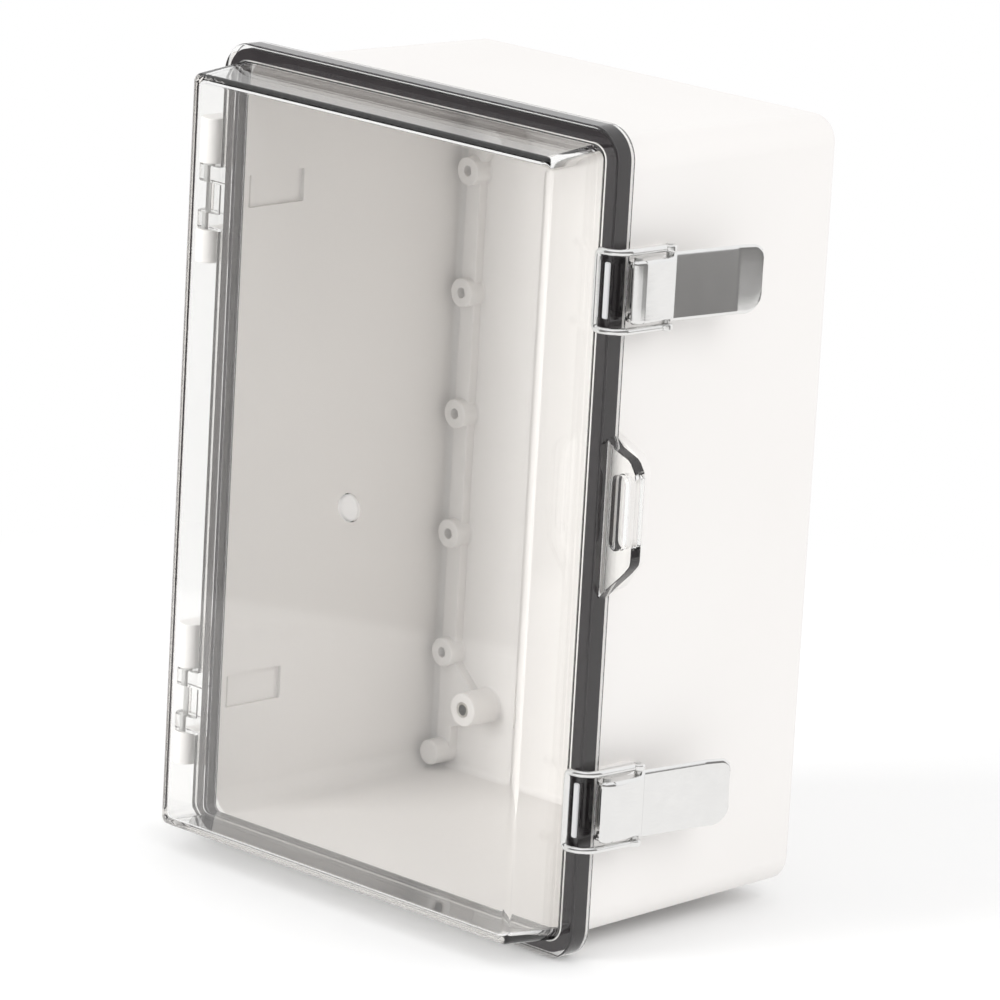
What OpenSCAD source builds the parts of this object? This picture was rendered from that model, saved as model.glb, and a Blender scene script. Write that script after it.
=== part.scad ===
// Wall-mounting enclosure: an opaque base, a clear domed cover on two side
// hinges, a gasket in the cover's channel and two steel draw latches.
// Frame: +Z up, the cover faces -Y, the back face lies on Y = 0 and the
// origin is at the middle of the four wall-fixing holes.

/* [Enclosure] */
// Width across the cover flange
width = 200; // [180:1:260]
// Height across the cover flange
height = 300; // [280:1:400]
// Depth from the back face to the front of the dome
depth = 145; // [120:1:200]
// Depth of the raised dome in front of the flange
dome_depth = 24; // [15:1:40]
// Corner radius of the flange
flange_r = 12; // [11:0.5:16]

/* [Walls] */
// Wall thickness of the base
base_wall = 3; // [2.5:0.1:4]
// Thickness of the base's back wall
back_wall = 3.5; // [3:0.1:5]
// Wall thickness of the dome
dome_wall = 2.5; // [2:0.1:3.5]
// Thickness of the flange's front wall
flange_wall = 1.8; // [1.5:0.1:2.5]
// Thickness of the cover skirt that overlaps the base collar
skirt_wall = 2; // [1.8:0.1:2.2]
// Depth of the skirt, front to back
skirt_depth = 9; // [8:0.5:12]

/* [Gasket] */
// Width of the gasket section
gasket_w = 4; // [3.4:0.1:4.2]
// Thickness of the gasket, pressed
gasket_t = 4.4; // [3:0.1:4.6]

/* [Inside] */
// Height between two bosses of a side column
column_pitch = 46.8; // [40:0.1:50]
// Distance of the side columns from the middle
column_x = 81; // [78:0.5:82]
// Diameter of a column boss
column_boss_d = 11; // [9:0.5:12]
// Pilot hole of a column boss
column_hole_d = 4; // [3:0.1:4.5]
// Distance between the panel bosses, side to side
panel_pitch_x = 124; // [110:1:130]
// Distance between the panel bosses, top to bottom
panel_pitch_z = 222; // [200:1:226]
// Diameter of a panel boss
panel_boss_d = 13; // [11:0.5:14]
// Distance between the wall-fixing holes, side to side
fixing_pitch_x = 164; // [150:1:168]
// Distance between the wall-fixing holes, top to bottom
fixing_pitch_z = 266; // [250:1:270]
// Pilot diameter of a wall-fixing hole
fixing_hole_d = 4.4; // [3.5:0.1:5]

/* [Hinges] */
// Middle height of the clear knuckle on the upper hinge
hinge_upper_z = 90.5; // [80:0.5:110]
// Middle height of the clear knuckle on the lower hinge
hinge_lower_z = -101; // [-110:0.5:-80]
// Distance of the hinge axis outside the flange
hinge_out = 8.5; // [8.5:0.5:11]
// Radius of the knuckles
knuckle_r = 4.5; // [4:0.1:4.8]
// Length of the clear middle knuckle
knuckle_len = 24; // [18:0.5:30]
// Length of the base knuckle above it
knuckle_above = 17; // [10:0.5:20]
// Length of the base knuckle below it
knuckle_below = 12.5; // [10:0.5:20]
// Radius of the hinge pin
hinge_pin_r = 1.5; // [1.2:0.1:2]

/* [Latches] */
// Middle height of the upper latch
latch_upper_z = 94; // [80:0.5:110]
// Middle height of the lower latch
latch_lower_z = -93; // [-110:0.5:-80]
// Width of the lever
lever_w = 22; // [20:0.2:24]
// Length from the lever pivot to the thumb end
lever_len = 54; // [50:0.5:58]
// Width of the claw frame
claw_w = 29.8; // [29.6:0.2:32]
// Thickness of the latch steel
sheet = 1.2; // [1:0.1:1.4]

/* [Padlock] */
// Middle height of the padlock eye
padlock_z = 16; // [0:1:20]
// Width of the slot for the shackle
slot_w = 6.4; // [6:0.1:8]
// Height of the slot for the shackle
slot_h = 27; // [20:1:30]

/* [Hidden] */
$fn = 48;

// Planes along Y, from the flange's front face back to the rim of the base
flange_y = -(depth - dome_depth);
channel_y = flange_y + flange_wall;
skirt_back_y = flange_y + skirt_depth;
rim_y = channel_y + gasket_t;
collar_back_y = skirt_back_y + 2.5;

// Insets from the flange outline
gasket_in = skirt_wall + 0.1;
collar_in = 3;
collar_t = 4;
dome_root_in = 6.5;
dome_front_in = 9;
base_front_in = 5;
base_back_in = 7.3;
channel_wall_in = gasket_in + gasket_w + 0.1;
channel_gap = 0.3;
ply_t = 0.02;

// Hinge axis, and the block that carries the base knuckles
hinge_x = -(width / 2 + hinge_out);
hinge_y = flange_y + 4;
hinge_block_y = skirt_back_y + 0.7;
hinge_block_t = 8;
knuckle_gap = 0.3;
play = 0.05;
seat = 0.01;

// Latch: lever pivot and claw pivot, and what is measured from them
lever_at = [width / 2 + 4.8, flange_y + 8.4];
claw_at = lever_at + [1, 14.4];
roll_r = 4.2;
roll_mid = roll_r - sheet / 2;
hump_r = 40;
hump_start = -9.5;
hump_end = 12.5;
pin_r = 1.5;
claw_pin_r = 1.3;
ear_r = 2.7;
cheek_r = 3.5;
cheek_z = lever_w / 2 - sheet;
ear_z = cheek_z - 0.4 - sheet;
arm_t = 1.7;
arm_z = claw_w / 2 - arm_t;
claw_front_y = flange_y - 0.3;
claw_t = 3.1;
claw_bar_x = width / 2 - 5.7;
claw_bar_w = 3;
claw_arm_x = width / 2 + 0.9;
pad_x = width / 2 - 3.5;
pad_y = collar_back_y + 0.2;
pad_len = 19;
plate_t = 1.5;
rivet_r = 1.6;
rivet_pitch = 9;
rivet_len = 6;

// Lever skin: centre of the hump, the step inwards, the bend and the thumb end
hump_at = (roll_mid - hump_r) * [cos(hump_start), sin(hump_start)];
step_at = [3.6, 17.8];
bend_at = [5.6, lever_len - 9];
tip_at = [8.4, lever_len];
shoulder_at = 16.4;
thumb_r = 7;

// Heights of the bosses inside, measured as planes along Y
column_boss_y = -10.8;
column_rib_y = -7.2;
column_rib_w = 7.2;
panel_boss_y = -17;
fixing_boss_y = -14;
fixing_boss_r = 4.8;
fixing_floor_y = -11;
boss_foot_y = 1 - back_wall;
boss_edge = 0.5;
insert_r = 3;
insert_len = 9;
insert_bore_r = 2;

// Hinge pads, pockets and the clear knuckle's lugs
hinge_pad_w = 2.4;
hinge_pad_len = 27;
hinge_len = knuckle_above + knuckle_len + knuckle_below;
pocket_h = 12.4;
pocket_up = [3.5, 5];
lug_h = 6.5;
lug_w = 6;
web_t = 3.6;

// Padlock ears: slot, outer edge and where each one starts on its wall
ear_slot_x = width / 2 + 3.4;
cover_ear_x = ear_slot_x + slot_w + 4.7;
base_ear_x = cover_ear_x - 2.5;
cover_ear_root = width / 2 - skirt_wall / 2;
base_ear_root = width / 2 - base_front_in - 1;

// Catch rib and moulding gate mark
rib_w = 1.5;
rib_rise = 0.6;
gate_r = 6;
gate_deep = 0.4;

// Flat outline of the flange drawn in by an inset
module outline(inset, r) {
    w = width - 2 * inset;
    h = height - 2 * inset;
    square([w - 2 * r, h], center = true);
    square([w, h - 2 * r], center = true);
    for (sx = [-1, 1], sz = [-1, 1])
        translate([sx * (w / 2 - r), sz * (h / 2 - r)]) circle(r);
}

// Solid plate of that outline between two planes, back and front
module plate(inset, r, y_back, y_front)
    translate([0, y_back, 0]) rotate([90, 0, 0])
        linear_extrude(y_back - y_front) outline(inset, r);

// Thin plate that hulls use as one layer of a tapered form
module ply(inset, r, y) plate(inset, r, y, y - ply_t, $fn = 32);

// Ring between two insets
module ring(outer_in, inner_in, r_out, y_back, y_front) difference() {
    plate(outer_in, r_out, y_back, y_front);
    plate(inner_in, max(r_out - (inner_in - outer_in), 2), y_back + 1, y_front - 1);
}

// Rod along Y between two planes
module rod_y(x, z, r, y_back, y_front)
    translate([x, y_back, z]) rotate([90, 0, 0]) cylinder(h = y_back - y_front, r = r);

// Rod along Z between two heights
module rod_z(x, y, r, z_low, z_high)
    translate([x, y, z_low]) cylinder(h = z_high - z_low, r = r);

// Points of an arc, counted from one angle to the other
function arc(c, r, a0, a1, n) = [for (k = [0:n]) let (a = a0 + (a1 - a0) * k / n) c + r * [cos(a), sin(a)]];

// Flat profile in X and Y, as thick as the height range
module slice(z_low, z_high) translate([0, 0, z_low]) linear_extrude(z_high - z_low) children();

// ---- Base ----

// Drafted body of the base with a rounded back edge
module base_body() hull() {
    ply(base_front_in, 9, rim_y + ply_t);
    ply(base_back_in - 0.1, 8, -3.5);
    ply(base_back_in + 0.9, 7.5, -1);
    ply(base_back_in + 2.7, 6.5, 0);
}

// Inside of the base, open at the rim
module base_cavity() hull() {
    ply(base_front_in + base_wall, 6.5, rim_y - 1);
    ply(base_back_in + base_wall, 6, -back_wall);
}

// Boss that stands on the back wall, its front edge chamfered
module boss(x, z, r, face_y) {
    rod_y(x, z, r, boss_foot_y, face_y + boss_edge);
    translate([x, face_y + boss_edge, z]) rotate([90, 0, 0])
        cylinder(h = boss_edge, r1 = r, r2 = r - boss_edge);
}

// Five bosses on a rib that runs up a back corner
module side_column(side) {
    x = side * column_x;
    for (k = [-2:2]) boss(x, k * column_pitch, column_boss_d / 2, column_boss_y);
    translate([x - column_rib_w / 2, column_rib_y, -fixing_pitch_z / 2])
        cube([column_rib_w, boss_foot_y - column_rib_y, fixing_pitch_z]);
}

// Web as high as the rib, from a column's end boss to the panel boss beside it
module corner_web(side, up) {
    outer_x = column_x + column_rib_w / 2;
    inner_x = column_x - column_rib_w / 2;
    end_z = 2 * column_pitch;
    panel_x = panel_pitch_x / 2;
    panel_z = panel_pitch_z / 2;
    corners = [
        [outer_x, end_z], [inner_x, end_z + 3.4], [panel_x + 5, panel_z - 4.4],
        [panel_x, panel_z + 6], [inner_x, panel_z + 12], [outer_x, panel_z + 12]
    ];
    translate([0, boss_foot_y, 0]) rotate([90, 0, 0]) linear_extrude(boss_foot_y - column_rib_y)
        polygon([for (p = corners) [side * p.x, up * p.y]]);
}

// Knuckles of one hinge on the base, with the block that joins them to the wall
module base_knuckle(z_low, z_high) slice(z_low, z_high) {
    translate([hinge_x, hinge_y]) circle(knuckle_r);
    translate([hinge_x - knuckle_r, hinge_y]) square([2 * knuckle_r, hinge_block_y + 1 - hinge_y]);
    translate([hinge_x - knuckle_r, hinge_block_y])
        square([knuckle_r + hinge_out + base_front_in + 1, hinge_block_t]);
}
module base_knuckles(z) {
    half = knuckle_len / 2 + knuckle_gap;
    base_knuckle(z + half, z + half + knuckle_above);
    base_knuckle(z - half - knuckle_below, z - half);
}

// Thicker wall behind a hinge, hollowed from inside by a shallow pocket
module hinge_pad(z) {
    wall_x = base_front_in - width / 2;
    translate([wall_x - hinge_pad_w, collar_back_y - 1, z - knuckle_len / 2 - knuckle_below])
        cube([hinge_pad_w + 2, hinge_pad_len, hinge_len]);
}
module hinge_pocket(z)
    translate([base_front_in + 1 - width / 2, skirt_back_y, z - pocket_h / 2])
        cube([base_wall, hinge_pad_len, pocket_h]);

// Flat pad on the wall for a latch bracket, and the place of each rivet
module latch_pad(z) translate([pad_x - 6, pad_y, z - lever_w / 2 - 1.5]) cube([6, pad_len, lever_w + 3]);
module at_rivets(z) for (k = [0, 1])
    translate([pad_x, pad_y + 4.5 + k * rivet_pitch, z]) rotate([0, 90, 0]) children();

// Padlock ear: a tapered tab with a slot for the shackle, seen from the front
module ear_outline(root, out) {
    top = padlock_z + slot_h / 2;
    foot = padlock_z - slot_h / 2;
    polygon([
        [root, top + 13], [width / 2 + 3.5, top + 9], [out - 3, top + 6], [out, top + 1.5],
        [out, foot - 4], [out - 3.4, foot - 8], [width / 2 + 3.6, foot - 15], [root, foot - 20]
    ]);
}
module ear_slot() translate([ear_slot_x + slot_w / 2, padlock_z]) {
    square([slot_w, slot_h - slot_w], center = true);
    for (up = [-1, 1]) translate([0, up * (slot_h - slot_w) / 2]) circle(slot_w / 2);
}
module ear(root, out, y_back, thick)
    translate([0, y_back, 0]) rotate([90, 0, 0]) linear_extrude(thick) difference() {
        ear_outline(root, out);
        ear_slot();
    }

// Walls, collar and pads of the base, hollowed out
module base_walls() difference() {
    union() {
        base_body();
        ring(collar_in, collar_in + collar_t, flange_r - collar_in, collar_back_y, rim_y);
        for (z = [hinge_upper_z, hinge_lower_z]) hinge_pad(z);
        for (z = [latch_upper_z, latch_lower_z]) latch_pad(z);
    }
    base_cavity();
    hinge_pocket(hinge_upper_z + pocket_up[0]);
    hinge_pocket(hinge_lower_z + pocket_up[1]);
}

// Screw holes, insert seats, hinge bores and rivet holes of the base
module base_holes() {
    for (z = [hinge_upper_z, hinge_lower_z])
        rod_z(hinge_x, hinge_y, hinge_pin_r + seat, z - hinge_len, z + hinge_len);
    for (side = [-1, 1]) {
        for (k = [-2:2])
            rod_y(side * column_x, k * column_pitch, column_hole_d / 2, -back_wall, column_boss_y - 1);
        for (up = [-1, 1]) {
            at_panel(side, up, insert_r + seat, panel_boss_y + insert_len, panel_boss_y - 1);
            at_fixing(side, up, fixing_hole_d / 2, 1, fixing_floor_y);
        }
    }
    for (z = [latch_upper_z, latch_lower_z])
        at_rivets(z) translate([0, 0, -rivet_len]) cylinder(h = rivet_len + 1, r = rivet_r + seat);
}

module base_shell() color([0.93, 0.93, 0.92]) difference() {
    union() {
        base_walls();
        for (side = [-1, 1]) {
            side_column(side);
            for (up = [-1, 1]) {
                corner_web(side, up);
                boss(side * panel_pitch_x / 2, up * panel_pitch_z / 2, panel_boss_d / 2, panel_boss_y);
                boss(side * fixing_pitch_x / 2, up * fixing_pitch_z / 2, fixing_boss_r, fixing_boss_y);
            }
        }
        for (z = [hinge_upper_z, hinge_lower_z]) base_knuckles(z);
        ear(base_ear_root, base_ear_x, hinge_block_y + 4, 4);
    }
    base_holes();
}

// Rod on the axis of one of the four panel bosses or wall-fixing bosses
module at_panel(side, up, r, y_back, y_front)
    rod_y(side * panel_pitch_x / 2, up * panel_pitch_z / 2, r, y_back, y_front);
module at_fixing(side, up, r, y_back, y_front)
    rod_y(side * fixing_pitch_x / 2, up * fixing_pitch_z / 2, r, y_back, y_front);

// Threaded insert in a panel boss
module plate_insert(side, up) color([0.75, 0.6, 0.32]) difference() {
    at_panel(side, up, insert_r, panel_boss_y + insert_len, panel_boss_y);
    at_panel(side, up, insert_bore_r, panel_boss_y + insert_len + 1, panel_boss_y - 1);
}
module plate_insert_top_left() plate_insert(-1, 1);
module plate_insert_top_right() plate_insert(1, 1);
module plate_insert_bottom_left() plate_insert(-1, -1);
module plate_insert_bottom_right() plate_insert(1, -1);

// ---- Cover ----

// Drafted outside of the dome with a rounded front edge
module dome_outer() hull() {
    ply(dome_root_in, 6.5, channel_y);
    ply(dome_front_in - 0.2, 5.4, -depth + 2.2);
    ply(dome_front_in + 0.4, 5, -depth + 0.8);
    ply(dome_front_in + 1.8, 4, -depth + ply_t);
}

// Inside of the dome, from the channel wall to the front panel
module dome_inner() hull() {
    ply(dome_root_in + dome_wall, 5, rim_y);
    ply(dome_front_in + dome_wall, 4, -depth + dome_wall + ply_t);
}

// Clear knuckle: two lugs that carry the pin, and a web between them
module cover_knuckle(z) for (up = [-1, 1]) {
    mid = z + up * (knuckle_len - lug_h) / 2;
    slice(mid - lug_h / 2, mid + lug_h / 2) {
        translate([hinge_x, hinge_y]) circle(knuckle_r - 0.2);
        translate([hinge_x, hinge_y - lug_w / 2]) square([hinge_out + 1, lug_w]);
    }
}
module knuckle_web(z)
    translate([hinge_x + knuckle_r - 2, hinge_y - web_t / 2 + 0.2, z - knuckle_len / 2 + 1])
        cube([hinge_out - knuckle_r + 3, web_t, knuckle_len - 2]);

module cover() color([0.86, 0.9, 0.94, 0.35]) difference() {
    union() {
        plate(0, flange_r, channel_y, flange_y);
        ring(0, skirt_wall, flange_r, skirt_back_y, flange_y);
        ring(channel_wall_in, dome_root_in + dome_wall + 1, flange_r - channel_wall_in,
             rim_y - channel_gap, flange_y);
        dome_outer();
        for (z = [hinge_upper_z, hinge_lower_z]) {
            cover_knuckle(z);
            knuckle_web(z);
        }
        for (z = [latch_upper_z, latch_lower_z]) catch_rib(z);
        ear(cover_ear_root, cover_ear_x, skirt_back_y - 0.8, 5);
    }
    dome_inner();
    for (z = [hinge_upper_z, hinge_lower_z])
        rod_z(hinge_x, hinge_y, hinge_pin_r + play, z - hinge_len, z + hinge_len);
    // Moulding gate mark inside the front panel
    rod_y(0, 0, gate_r, -depth + dome_wall + 1, -depth + dome_wall - gate_deep);
}

// Low rib on the flange that keeps the claw's bar from slipping off
module catch_rib(z)
    translate([width / 2 - 0.1 - rib_w, flange_y - rib_rise, z - lever_w / 2 + 1])
        cube([rib_w, rib_rise + 0.4, lever_w - 2]);

module gasket() color([0.2, 0.19, 0.2])
    ring(gasket_in, gasket_in + gasket_w, flange_r - gasket_in, rim_y, channel_y);

module hinge_pin(z) color([0.78, 0.79, 0.8]) {
    foot = z - knuckle_len / 2 - knuckle_below;
    rod_z(hinge_x, hinge_y, hinge_pin_r, foot, foot + hinge_len - 1);
}
module hinge_pin_upper() hinge_pin(hinge_upper_z);
module hinge_pin_lower() hinge_pin(hinge_lower_z);

// ---- Latches ----

// Steel plate on the pad, with two ears that carry the lever pin
module latch_bracket(z) color([0.72, 0.73, 0.74]) {
    ear_top = ear_z + sheet;
    plate_y = pad_y + 0.8;
    plate_back = pad_y + pad_len - 1;
    difference() {
        translate([pad_x, plate_y, z - ear_top]) cube([plate_t, plate_back - plate_y, 2 * ear_top]);
        at_rivets(z) translate([0, 0, -1]) cylinder(h = plate_t + 2, r = rivet_r + seat);
    }
    for (low = [z - ear_top, z + ear_z]) slice(low, low + sheet) difference() {
        union() {
            translate(lever_at) circle(ear_r);
            polygon([
                lever_at - [ear_r, 0], lever_at + [0, -ear_r / 2], lever_at + [1.6, 2.1],
                [pad_x + plate_t + 3, plate_y + 9], [pad_x + plate_t, plate_back], [pad_x, plate_back],
                [pad_x, plate_y], [pad_x + plate_t, plate_y], lever_at + [-ear_r, 2.7]
            ]);
        }
        translate(lever_at) circle(pin_r + seat);
    }
}

// Two low-headed rivets that hold a bracket on its pad
module latch_rivets(z) color([0.7, 0.7, 0.7]) at_rivets(z) {
    translate([0, 0, plate_t]) cylinder(h = 1, r1 = 2.8, r2 = 1.8);
    translate([0, 0, 1 - rivet_len]) cylinder(h = rivet_len - 1 + plate_t, r = rivet_r);
}

module lever_pin(z) color([0.8, 0.8, 0.8])
    rod_z(lever_at.x, lever_at.y, pin_r, z - lever_w / 2 - 0.8, z + lever_w / 2 + 0.8);

// Middle line of the lever's skin: a roll round the pivot, a shallow hump
// tangent to it, a step inwards, the flat handle and a thumb end bent outwards
skin_line = concat(
    arc([0, 0], roll_mid, -70, hump_start, 8),
    arc(hump_at, hump_r, hump_start + 2, hump_end, 10),
    [step_at, bend_at, (bend_at + tip_at) / 2 - [0.5, 0], tip_at]
);

// Sheet of even thickness along a middle line of points
function side_of(line, k) = let (
    a = line[max(k - 1, 0)],
    b = line[min(k + 1, len(line) - 1)]
) [b.y - a.y, a.x - b.x] / norm(b - a);
module bent_sheet(line, t) polygon(concat(
    [for (k = [0:len(line) - 1]) line[k] + t / 2 * side_of(line, k)],
    [for (k = [len(line) - 1:-1:0]) line[k] - t / 2 * side_of(line, k)]
));

// Side wall of the lever with the bores of both pins
module lever_cheek() difference() {
    union() {
        circle(cheek_r);
        polygon([[-2.6, 2.4], [2.6, -2.4], [roll_mid, 0], [roll_mid + 0.5, 6], [3.4, 13],
                 [2.4, 17], [0.6, 17], [-1.4, 15.4]]);
    }
    circle(pin_r + play);
    translate(claw_at - lever_at) circle(claw_pin_r + seat);
}

// Lever outline along Y and across: full width in front, a narrower handle, a round thumb end
module lever_outline() {
    half = lever_w / 2 - 0.8;
    end = lever_len + 1;
    translate([-8, -lever_w / 2 - 1]) square([8 + shoulder_at, lever_w + 2]);
    translate([0, -half]) square([end - thumb_r, 2 * half]);
    translate([0, thumb_r - half]) square([end, 2 * (half - thumb_r)]);
    for (side = [-1, 1]) translate([end - thumb_r, side * (half - thumb_r)]) circle(thumb_r);
}

module latch_lever(z) color([0.8, 0.81, 0.82]) translate([lever_at.x, lever_at.y, z]) {
    intersection() {
        slice(-lever_w / 2, lever_w / 2) bent_sheet(skin_line, sheet);
        translate([-roll_r - 1, 0, 0]) rotate([90, 0, 90]) linear_extrude(4 * roll_r) lever_outline();
    }
    for (low = [-lever_w / 2, cheek_z]) slice(low, low + sheet) lever_cheek();
}

module claw_pin(z) color([0.8, 0.8, 0.8])
    rod_z(claw_at.x, claw_at.y, claw_pin_r, z - claw_w / 2 - 0.6, z + claw_w / 2 + 0.6);

// Arm of the claw: an eye on the pin and a bar that turns over the flange's front
module claw_arm() {
    corner_r = 2;
    front = claw_front_y - claw_t;
    out = claw_arm_x + claw_t;
    difference() {
        union() {
            translate(claw_at) circle(2.6);
            polygon(concat(
                [claw_at + [-2.4, -1], [claw_arm_x, flange_y + 4], [claw_arm_x, claw_front_y],
                 [claw_bar_x, claw_front_y], [claw_bar_x, front]],
                arc([out - corner_r, front + corner_r], corner_r, -90, 0, 6),
                [[out, flange_y + 4], claw_at + [2.4, -1]]
            ));
        }
        translate(claw_at) circle(claw_pin_r + play);
    }
}

module latch_claw(z) color([0.78, 0.79, 0.8]) {
    for (low = [z - claw_w / 2, z + arm_z]) slice(low, low + arm_t) claw_arm();
    translate([claw_bar_x, claw_front_y - claw_t, z - claw_w / 2]) cube([claw_bar_w, claw_t, claw_w]);
}

module latch_bracket_upper() latch_bracket(latch_upper_z);
module latch_bracket_lower() latch_bracket(latch_lower_z);
module latch_rivets_upper() latch_rivets(latch_upper_z);
module latch_rivets_lower() latch_rivets(latch_lower_z);
module lever_pin_upper() lever_pin(latch_upper_z);
module lever_pin_lower() lever_pin(latch_lower_z);
module latch_lever_upper() latch_lever(latch_upper_z);
module latch_lever_lower() latch_lever(latch_lower_z);
module claw_pin_upper() claw_pin(latch_upper_z);
module claw_pin_lower() claw_pin(latch_lower_z);
module latch_claw_upper() latch_claw(latch_upper_z);
module latch_claw_lower() latch_claw(latch_lower_z);

base_shell();
plate_insert_top_left();
plate_insert_top_right();
plate_insert_bottom_left();
plate_insert_bottom_right();
cover();
gasket();
hinge_pin_upper();
hinge_pin_lower();
latch_bracket_upper();
latch_rivets_upper();
lever_pin_upper();
latch_lever_upper();
claw_pin_upper();
latch_claw_upper();
latch_bracket_lower();
latch_rivets_lower();
lever_pin_lower();
latch_lever_lower();
claw_pin_lower();
latch_claw_lower();
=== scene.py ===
"""Dresses a wall-mounting enclosure: opaque base, clear hinged cover, gasket and two draw latches.

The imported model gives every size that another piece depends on. The two shells, the gasket, the
levers and the bosses are surfaces worked out here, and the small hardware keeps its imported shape
with rounded edges. Lengths are in millimetres until a mesh is made.
"""

import logging
import math
from dataclasses import dataclass, field
from enum import Enum
from typing import Any, Sequence

import bmesh
import bpy
import numpy as np
from mathutils import Matrix, Vector


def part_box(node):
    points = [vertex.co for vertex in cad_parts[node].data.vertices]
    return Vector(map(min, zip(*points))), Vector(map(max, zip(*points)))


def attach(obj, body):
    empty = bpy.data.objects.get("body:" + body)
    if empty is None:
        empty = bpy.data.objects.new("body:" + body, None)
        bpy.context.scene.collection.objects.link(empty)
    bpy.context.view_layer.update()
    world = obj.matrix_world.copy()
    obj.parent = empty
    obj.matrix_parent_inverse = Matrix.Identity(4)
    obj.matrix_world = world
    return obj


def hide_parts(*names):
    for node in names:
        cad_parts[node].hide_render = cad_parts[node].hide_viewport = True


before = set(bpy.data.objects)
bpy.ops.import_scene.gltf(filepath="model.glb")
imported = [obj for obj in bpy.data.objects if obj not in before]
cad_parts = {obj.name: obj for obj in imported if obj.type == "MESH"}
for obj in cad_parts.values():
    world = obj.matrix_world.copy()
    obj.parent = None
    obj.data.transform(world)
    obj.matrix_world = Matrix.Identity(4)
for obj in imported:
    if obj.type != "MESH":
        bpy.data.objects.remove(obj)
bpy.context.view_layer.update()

log = logging.getLogger("enclosure")
MM = 0.001
Array = np.ndarray
Surface = tuple[np.ndarray, list[list[int]]]


# ---- Shader maths ----


@dataclass
class Tree:
    """A material's or the world's node tree, and the one place where nodes are added."""

    tree: Any

    def add(self, kind: str, settings: dict | None = None, **inputs: Any) -> Any:
        """Adds a node.

        Args:
            kind: Blender's type name of the node.
            settings: properties of the node, set before its sockets are used.
            inputs: value, Val or socket for each input, with _ for a space and x1 for input 1.

        Returns:
            The node.
        """
        node = self.tree.nodes.new(kind)
        for name, value in (settings or {}).items():
            setattr(node, name, value)
        for name, value in inputs.items():
            key = int(name[1:]) if name[0] == "x" and name[1:].isdigit() else name.replace("_", " ")
            self.plug(node.inputs[key], value)
        return node

    def plug(self, socket: Any, value: Any) -> None:
        """Sets a socket to a plain value, or links a Val or another socket to it.

        Args:
            socket: input of a node.
            value: number, tuple, Val or output socket.
        """
        if isinstance(value, Val):
            value = value.socket
        if isinstance(value, bpy.types.NodeSocket):
            self.tree.links.new(value, socket)
        else:
            socket.default_value = value

    def val(self, node: Any, output: int | str = 0) -> "Val":
        """Wraps one output of a node for use in an expression."""
        return Val(self, node.outputs[output])

    def position(self, stretch: Sequence[float] = (1, 1, 1)) -> "Val":
        """Object coordinates in metres.

        Args:
            stretch: factor along each axis.

        Returns:
            The coordinates, as a vector.
        """
        where = self.add("ShaderNodeTexCoord")
        scaled = self.add("ShaderNodeMapping", Vector=where.outputs["Object"], Scale=tuple(stretch))
        return self.val(scaled)

    def noise(self, size_mm: float, detail: float = 2.0, stretch: Sequence[float] = (1, 1, 1)) -> "Val":
        """Soft noise.

        Args:
            size_mm: distance from one blot to the next.
            detail: how many finer layers are added.
            stretch: factor on the coordinates along each axis.

        Returns:
            The noise, from 0 to 1.
        """
        node = self.add(
            "ShaderNodeTexNoise", Vector=self.position(stretch), Scale=1.0 / (size_mm * MM), Detail=detail
        )
        return self.val(node)

    def mix(self, share: "Val", first: Sequence[float], second: Sequence[float]) -> "Val":
        """Colour between two colours.

        Args:
            share: 0 for the first, 1 for the second.
            first: red, green and blue.
            second: red, green and blue.

        Returns:
            The colour.
        """
        node = self.add("ShaderNodeMix", {"data_type": "RGBA"}, Factor=share)
        colours = [s for s in node.inputs if s.type == "RGBA"]
        colours[0].default_value = (*first, 1)
        colours[1].default_value = (*second, 1)
        return Val(self, next(s for s in node.outputs if s.type == "RGBA"))

    def bump(self, height: "Val", depth_mm: float, strength: float = 1.0) -> Any:
        """Normal output of a Bump node whose height of 1 stands depth_mm proud."""
        return self.add("ShaderNodeBump", Height=height, Distance=depth_mm * MM, Strength=strength).outputs[0]


@dataclass
class Val:
    """A number in the shader, so that an expression on it adds its Math nodes."""

    tree: Tree
    socket: Any

    def _math(self, operation: str, first: Any, second: Any) -> "Val":
        """One Math node on two values."""
        return self.tree.val(self.tree.add("ShaderNodeMath", {"operation": operation}, x0=first, x1=second))

    def __add__(self, other: Any) -> "Val":
        """self + other."""
        return self._math("ADD", self, other)

    __radd__ = __add__

    def __mul__(self, other: Any) -> "Val":
        """self * other."""
        return self._math("MULTIPLY", self, other)

    __rmul__ = __mul__

    def __sub__(self, other: Any) -> "Val":
        """self - other."""
        return self._math("SUBTRACT", self, other)

    def __rsub__(self, other: Any) -> "Val":
        """other - self."""
        return self._math("SUBTRACT", other, self)

    def size(self) -> "Val":
        """self without its sign."""
        return self._math("MAXIMUM", self, -1.0 * self)

    def clamp(self) -> "Val":
        """self kept between 0 and 1."""
        return self._math("MINIMUM", self._math("MAXIMUM", self, 0.0), 1.0)


# ---- Finishes ----


class Slot(Enum):
    """The record's material slots that pieces take their finish from."""

    BASE = "base_plastic"
    CLEAR = "clear_plastic"
    GASKET = "gasket_foam"
    INSERT = "insert_metal"
    PIN = "pin_steel"
    LATCH = "latch_steel"


def blank_material(name: str) -> tuple[bpy.types.Material, Tree, Any]:
    """A new node material with nothing but its output node.

    Args:
        name: name of the material.

    Returns:
        The material, its tree and its output node.
    """
    material = bpy.data.materials.new(name)
    material.use_nodes = True
    tree = Tree(material.node_tree)
    material.node_tree.nodes.clear()
    output = tree.add("ShaderNodeOutputMaterial")
    return material, tree, output


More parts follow.
